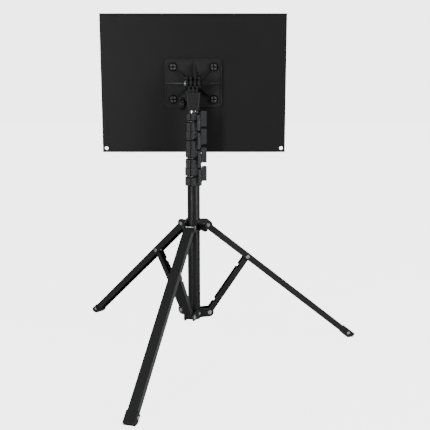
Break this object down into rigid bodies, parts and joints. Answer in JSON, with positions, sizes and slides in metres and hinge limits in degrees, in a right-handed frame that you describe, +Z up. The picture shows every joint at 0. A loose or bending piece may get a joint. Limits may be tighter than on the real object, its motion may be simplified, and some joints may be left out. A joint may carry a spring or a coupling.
{
  "type": "music stand",
  "caption": "Portable music stand: flat rectangular desk on a tilting bracket, telescoping clamped column and folding tripod.",
  "frame": {"origin": "on the column axis at floor level, with the three soles on the floor", "axes": "+Z up along the column; the reader stands on the -Y side and faces +Y; +X is the reader's right"},
  "size_m": [0.6655, 0.673, 0.7532],
  "materials": {
    "powder_coat": "satin black powder coat",
    "desk_coat": "fine matt black powder coat",
    "tube_coat": "satin black",
    "moulded": "fine-grained black moulding",
    "clamp_moulded": "fine-grained dark grey moulding",
    "knob": "semi-gloss black",
    "bright_steel": "bright zinc plated",
    "black_steel": "black oxide",
    "plated": "polished",
    "rubber": "matt"
  },
  "bodies": {
    "column": {"outer_tube": "tube_coat", "hub_plate_1": "powder_coat", "hub_plate_2": "powder_coat", "hub_plate_3": "powder_coat", "hub_plug": "moulded", "hub_rivets": "bright_steel", "hub_pins": "bright_steel", "clamp_1": "clamp_moulded", "clamp_fasteners_1": "black_steel"},
    "stage_2": {"tube_2": "tube_coat", "bush_2": "moulded", "clamp_2": "clamp_moulded", "clamp_fasteners_2": "black_steel"},
    "stage_3": {"tube_3": "tube_coat", "bush_3": "moulded", "clamp_3": "clamp_moulded", "clamp_fasteners_3": "black_steel"},
    "stage_4": {"tube_4": "tube_coat", "bush_4": "moulded", "clamp_4": "clamp_moulded", "clamp_fasteners_4": "black_steel"},
    "stage_5": {"tube_5": "tube_coat", "bush_5": "moulded", "top_spigot": "plated"},
    "lever_1": {"lever_1": "clamp_moulded"},
    "lever_2": {"lever_2": "clamp_moulded"},
    "lever_3": {"lever_3": "clamp_moulded"},
    "lever_4": {"lever_4": "clamp_moulded"},
    "head": {"neck": "moulded"},
    "neck_knob": {"neck_knob": "knob"},
    "desk": {"desk": "desk_coat", "bracket": "moulded", "bracket_screws": "black_steel", "tilt_bolt": "bright_steel"},
    "tilt_knob": {"tilt_knob": "knob"},
    "collar": {"collar_sleeve": "powder_coat", "collar_plate_1": "powder_coat", "collar_plate_2": "powder_coat", "collar_plate_3": "powder_coat", "collar_rivets": "bright_steel", "collar_pins": "bright_steel"},
    "collar_knob": {"collar_knob": "knob"},
    "leg_rear": {"leg_rear": "powder_coat", "foot_rear": "rubber", "foot_rivet_rear": "bright_steel"},
    "brace_rear": {"brace_rear": "powder_coat", "brace_pin_rear": "bright_steel"},
    "leg_left": {"leg_left": "powder_coat", "foot_left": "rubber", "foot_rivet_left": "bright_steel", "brace_pin_left": "bright_steel"},
    "brace_left": {"brace_left": "powder_coat"},
    "leg_right": {"leg_right": "powder_coat", "foot_right": "rubber", "foot_rivet_right": "bright_steel", "brace_pin_right": "bright_steel"},
    "brace_right": {"brace_right": "powder_coat"}
  },
  "joints": [
    {"name": "leg_fold", "type": "hinge", "parent": "column", "child": "brace_rear", "pos_m": [0.00937, 0.03227, 0.0901], "axis": [0.9603, -0.279, 0], "range_deg": [0, 29.71]},
    {"name": "leg_rear_fold", "type": "hinge", "parent": "brace_rear", "child": "leg_rear", "pos_m": [0.03431, 0.11808, 0.21501], "axis": [-0.9603, 0.279, 0], "range_deg": [0, 70.49]},
    {"name": "collar_rise", "type": "hinge", "parent": "leg_rear", "child": "collar", "pos_m": [0.00826, 0.02842, 0.2942], "axis": [0.9603, -0.279, 0], "range_deg": [0, 40.78]},
    {"name": "leg_left_fold", "type": "hinge", "parent": "collar", "child": "leg_left", "pos_m": [-0.02875, -0.00706, 0.2942], "axis": [0.2385, -0.9711, 0], "range_deg": [0, 40.78]},
    {"name": "brace_left_fold", "type": "hinge", "parent": "column", "child": "brace_left", "pos_m": [-0.03263, -0.00801, 0.0901], "axis": [-0.2385, 0.9711, 0], "range_deg": [0, 29.72]},
    {"name": "leg_right_fold", "type": "hinge", "parent": "collar", "child": "leg_right", "pos_m": [0.02049, -0.02136, 0.2942], "axis": [0.7218, 0.6921, 0], "range_deg": [0, 40.78]},
    {"name": "brace_right_fold", "type": "hinge", "parent": "column", "child": "brace_right", "pos_m": [0.02326, -0.02425, 0.0901], "axis": [-0.7218, -0.6921, 0], "range_deg": [0, 29.72]},
    {"name": "section_2_slide", "type": "slide", "parent": "column", "child": "stage_2", "axis": [0, 0, 1], "range_m": [0, 0.27]},
    {"name": "section_3_slide", "type": "slide", "parent": "stage_2", "child": "stage_3", "axis": [0, 0, 1], "range_m": [0, 0.27]},
    {"name": "section_4_slide", "type": "slide", "parent": "stage_3", "child": "stage_4", "axis": [0, 0, 1], "range_m": [0, 0.27]},
    {"name": "section_5_slide", "type": "slide", "parent": "stage_4", "child": "stage_5", "axis": [0, 0, 1], "range_m": [0, 0.27]},
    {"name": "lever_1_open", "type": "hinge", "parent": "column", "child": "lever_1", "pos_m": [-0.01428, 0.01828, 0.4025], "axis": [0, 0, -1], "range_deg": [0, 95]},
    {"name": "lever_2_open", "type": "hinge", "parent": "stage_2", "child": "lever_2", "pos_m": [-0.01348, 0.01726, 0.4425], "axis": [0, 0, -1], "range_deg": [0, 95]},
    {"name": "lever_3_open", "type": "hinge", "parent": "stage_3", "child": "lever_3", "pos_m": [-0.01268, 0.01623, 0.4825], "axis": [0, 0, -1], "range_deg": [0, 95]},
    {"name": "lever_4_open", "type": "hinge", "parent": "stage_4", "child": "lever_4", "pos_m": [-0.01188, 0.01521, 0.5225], "axis": [0, 0, -1], "range_deg": [0, 95]},
    {"name": "head_swivel", "type": "hinge", "parent": "stage_5", "child": "head", "pos_m": [0, 0, 0.56], "axis": [0, 0, 1], "continuous": true},
    {"name": "desk_tilt", "type": "hinge", "parent": "head", "child": "desk", "pos_m": [0, 0, 0.6042], "axis": [-1, 0, 0], "range_deg": [-4, 90]},
    {"name": "tilt_knob_turn", "type": "hinge", "parent": "desk", "child": "tilt_knob", "pos_m": [-0.03, 0, 0.6042], "axis": [-1, 0, 0], "continuous": true},
    {"name": "neck_knob_turn", "type": "hinge", "parent": "head", "child": "neck_knob", "pos_m": [0.02179, -0.00306, 0.561], "axis": [0.9903, -0.1392, 0], "continuous": true},
    {"name": "collar_knob_turn", "type": "hinge", "parent": "collar", "child": "collar_knob", "pos_m": [-0.0173, 0.01804, 0.2932], "axis": [-0.6921, 0.7218, 0], "continuous": true}
  ],
  "couplings": [
    {"joint": "leg_rear_fold", "follows": "leg_fold", "ratio": 2.3724},
    {"joint": "collar_rise", "follows": "leg_fold", "ratio": 1.3724},
    {"joint": "leg_left_fold", "follows": "leg_fold", "ratio": 1.3724},
    {"joint": "brace_left_fold", "follows": "leg_fold", "ratio": 1},
    {"joint": "leg_right_fold", "follows": "leg_fold", "ratio": 1.3724},
    {"joint": "brace_right_fold", "follows": "leg_fold", "ratio": 1}
  ]
}
